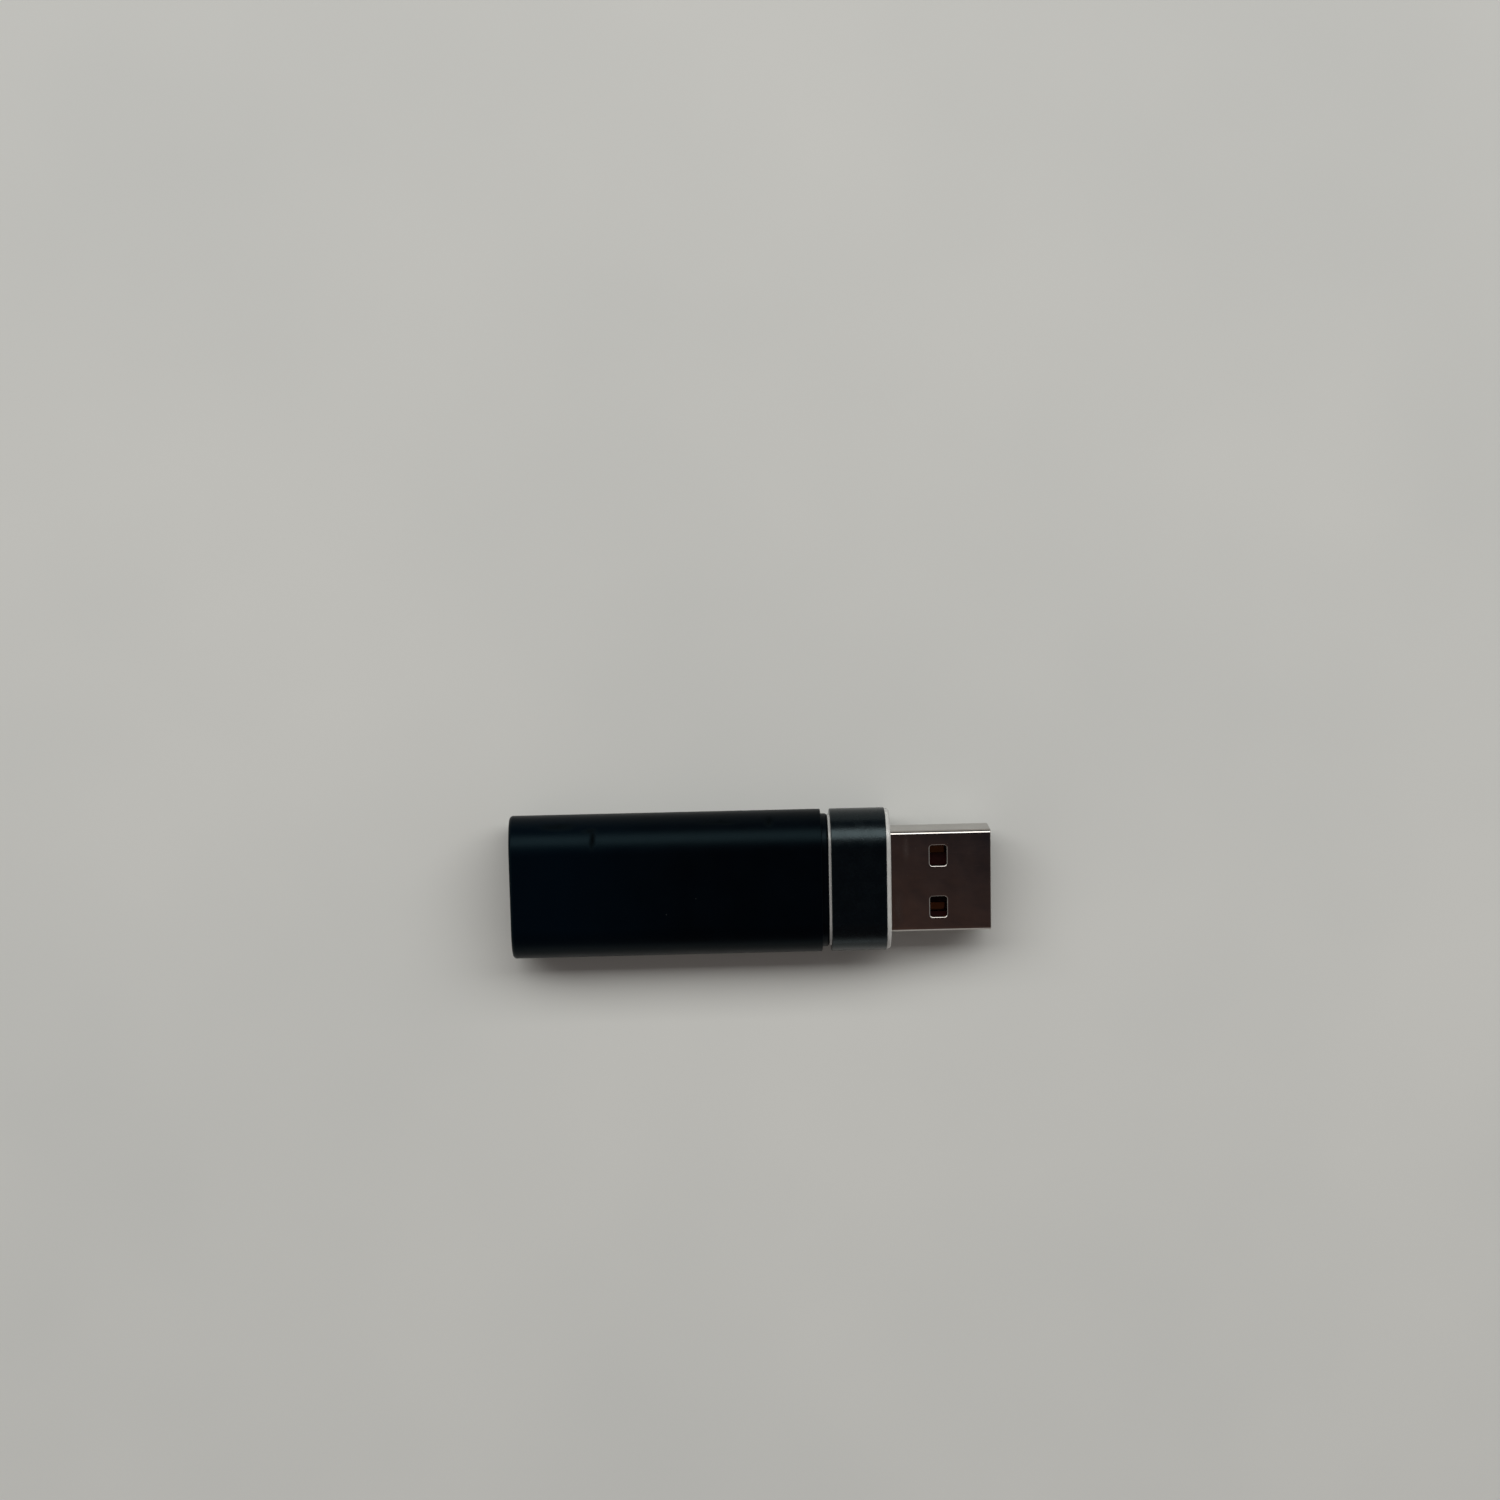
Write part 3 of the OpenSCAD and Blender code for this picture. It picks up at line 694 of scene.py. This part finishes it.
# Name, light and dark tone, roughness, and how the grain is stretched along X, Y and Z
METALS = (
    # This gold is darker than plated gold: it is painted shade for the contacts that sit deep inside
    # the plug's shell
    ("contact_gold", (0.28, 0.135, 0.06), (0.22, 0.105, 0.045), 0.12, (0.1, 1.0, 1.0)),
    ("tinned_ends", (0.66, 0.66, 0.65), (0.56, 0.56, 0.55), 0.34, (1.0, 1.0, 1.0)),
    ("spring_steel", (0.66, 0.65, 0.62), (0.58, 0.57, 0.54), 0.26, (1.0, 0.1, 1.0)),
    ("bare_copper", (0.72, 0.40, 0.22), (0.62, 0.32, 0.17), 0.3, (1.0, 1.0, 1.0)),
    ("crystal_lid", (0.70, 0.68, 0.62), (0.62, 0.60, 0.55), 0.28, (1.0, 1.0, 1.0)),
)


def dress_inside():
    """A material for every CAD node that stays, and the snap dome."""
    finish = {row[0]: moulded_material(*row) for row in MOULDED}
    finish.update({row[0]: metal_material(*row) for row in METALS})
    tin = finish["tinned_ends"]
    black = moulded_material(
        "carrier_black", (0.0007, 0.0012, 0.0022), (0.0004, 0.0008, 0.0016), 0.38, 0.1, 0.002,
        specular=0.08, tint=(0.55, 0.85, 1.0),
    )
    red_brown = moulded_material(
        "tongue_red_brown", (0.030, 0.0035, 0.0035), (0.018, 0.002, 0.002), 0.45, 0.08, 0.002,
        specular=0.25,
    )
    dress("chassis_tray", black)
    dress("chassis_lid", black)
    dress("usb_insulator", red_brown, edge=SMALL_BEVEL)
    # The contacts use the gold that has painted shade in its colour
    dress("usb_contacts", finish["contact_gold"], edge=SMALL_BEVEL)
    dress("switch_plunger", finish["plunger_white"], edge=SMALL_BEVEL)
    dress("circuit_board", board_material())
    for node, name in (
        ("status_leds", "led_lens"), ("printed_antenna", "bare_copper"),
        ("programming_pads", "contact_gold"), ("switch_base", "switch_black"),
        ("switch_frame", "spring_steel"), ("switch_terminals", "tinned_ends"),
    ):
        dress(node, finish[name])
    dress("microcontroller", finish["chip_epoxy"], tin, on_pin)
    dress("crystal", finish["filter_white"], finish["crystal_lid"], above(0.5))
    for node in ("flash_memory", "voltage_regulator", "esd_array"):
        dress(node, finish["chip_epoxy"], tin, on_leg(0.39 * MM))
    for node, name in (
        ("ferrite_bead", "ferrite_grey"), ("capacitors", "capacitor_tan"),
        ("resistors", "resistor_glaze"), ("antenna_filter", "filter_white"),
    ):
        dress(node, finish[name], tin, on_end_cap)
    make_snap_dome(finish["spring_steel"])


# ---------------------------------------------------------------- floor, light and camera

def floor_material():
    mat, shader = node_material("studio_floor", (0.62, 0.62, 0.60), roughness=0.8, specular=0.2)
    tones = spread(mat, noise(mat, 60 * MM, 3.0), 0.3, 0.7)
    color = mix_colors(mat, tones, (0.60, 0.605, 0.585), (0.645, 0.645, 0.62))
    connect(mat, color, shader.inputs["Base Color"])
    return mat


def make_floor():
    half, below = 1.5, -0.01 * MM
    corners = [(-half, -half, below), (half, -half, below), (half, half, below), (-half, half, below)]
    floor = new_object("floor", corners, [(0, 1, 2, 3)])
    floor.data.materials.append(floor_material())


def soft_light(name, toward, distance, size, power, color):
    """Rectangular soft light on the line from the stick toward a direction, facing it."""
    data = bpy.data.lights.new(name, "AREA")
    data.shape = "RECTANGLE"
    data.size, data.size_y = size
    data.energy = power
    data.color = color
    light = bpy.data.objects.new(name, data)
    away = Vector(toward).normalized()
    light.rotation_mode = "QUATERNION"
    light.location = away * distance
    light.rotation_quaternion = away.to_track_quat("Z", "X")
    bpy.context.scene.collection.objects.link(light)


def make_lights():
    """A long soft window that leans toward +Y, and a room that the plug's steel can mirror.

    The ceiling is dark, with the small gradient that shows in the plug's wide face. The
    horizon is pale on the -Y side, and so are the two ends of the room.
    """
    lean = math.radians(41)
    toward = (0.0, math.sin(lean), math.cos(lean))
    soft_light("overhead_window", toward, 1.2, (0.62, 3.0), 22.0, (1.0, 1.0, 0.98))
    world = bpy.data.worlds.new("studio")
    bpy.context.scene.world = world
    world.use_nodes = True
    coords = add(world, "ShaderNodeTexCoord")
    split = add(world, "ShaderNodeSeparateXYZ", Vector=coords.outputs["Generated"])
    x, y, z = split.outputs
    across_x = spread(world, x, 0.1, 0.068, 0.0, 0.35)
    across_y = spread(world, y, -0.188, -0.226, 0.0, 0.65)
    ceiling = mix_colors(
        world, math_node(world, "ADD", across_x, across_y),
        (0.014, 0.016, 0.022), (0.090, 0.053, 0.043),
    )
    horizon = mix_colors(world, spread(world, y, -0.8, -0.3), (0.85, 0.85, 0.83), (0.06, 0.07, 0.08))
    color = mix_colors(world, spread(world, z, 0.12, 0.4), horizon, ceiling)
    ends = spread(world, math_node(world, "ABSOLUTE", x, 0.0), 0.5, 0.8)
    color = mix_colors(world, ends, color, (0.42, 0.42, 0.41))
    sky = world.node_tree.nodes["Background"]
    connect(world, color, sky.inputs["Color"])
    sky.inputs["Strength"].default_value = 1.0


def make_camera():
    """Looks down on the wide face, leaning a little toward +Y, from about a third of a metre."""
    tilt = Matrix.Rotation(math.radians(9.22), 3, "X")
    yaw = Matrix.Rotation(math.radians(1.03), 3, "Y")
    roll = Matrix.Rotation(math.radians(1.17), 3, "Z")
    distance = 0.3397
    facing = (roll @ tilt @ yaw).transposed()
    shoulder = Vector((GUIDE[1].x, 0.0, AXIS_Z))
    from_shoulder = Vector((-16.36 * MM, 15.07 * MM, distance))
    data = bpy.data.cameras.new("camera")
    data.sensor_width = 36.0
    data.lens = 69.4
    data.clip_start, data.clip_end = 0.01, 20.0
    camera = bpy.data.objects.new("camera", data)
    camera.rotation_mode = "QUATERNION"
    camera.rotation_quaternion = facing.to_quaternion()
    camera.location = shoulder + facing @ from_shoulder
    bpy.context.scene.collection.objects.link(camera)
    bpy.context.scene.camera = camera


make_shells()
dress_inside()
make_floor()
make_lights()
make_camera()
bpy.context.scene.view_settings.view_transform = "Standard"
